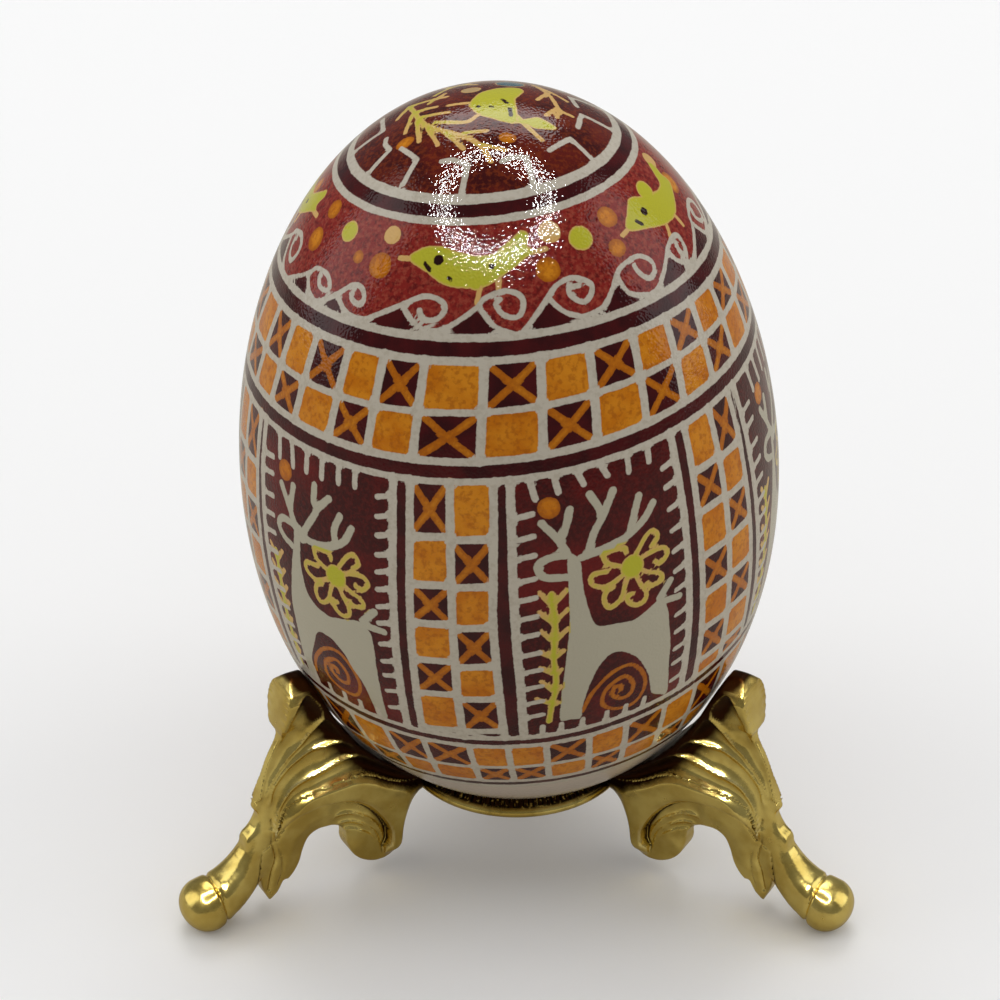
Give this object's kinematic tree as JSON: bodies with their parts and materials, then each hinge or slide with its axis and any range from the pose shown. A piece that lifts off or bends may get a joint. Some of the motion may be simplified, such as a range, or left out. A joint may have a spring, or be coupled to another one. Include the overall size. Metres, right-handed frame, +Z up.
{
  "type": "decorative egg on stand",
  "caption": "Painted hen's egg with folk pattern, resting in a cast brass stand whose ring is carried by scroll legs.",
  "frame": {"origin": "on the floor, under the middle of the whole object's box", "axes": "+Z up, front of the egg towards -Y, one leg points back along +Y"},
  "size_m": [0.0556, 0.0534, 0.0674],
  "materials": {
    "painted_shell": "dyed eggshell under gloss varnish",
    "plug_wax": "beeswax",
    "polished_brass": "polished and gold plated"
  },
  "bodies": {
    "stand": {"cup_ring": "polished_brass", "leg_front_left": "polished_brass", "leg_front_right": "polished_brass", "leg_back": "polished_brass"},
    "egg": {"egg_shell": "painted_shell", "hole_plug": "plug_wax"}
  },
  "joints": [
    {"name": "egg_lift", "type": "slide", "parent": "stand", "child": "egg", "axis": [0, 0, 1], "range_m": [0, 0.03]}
  ]
}
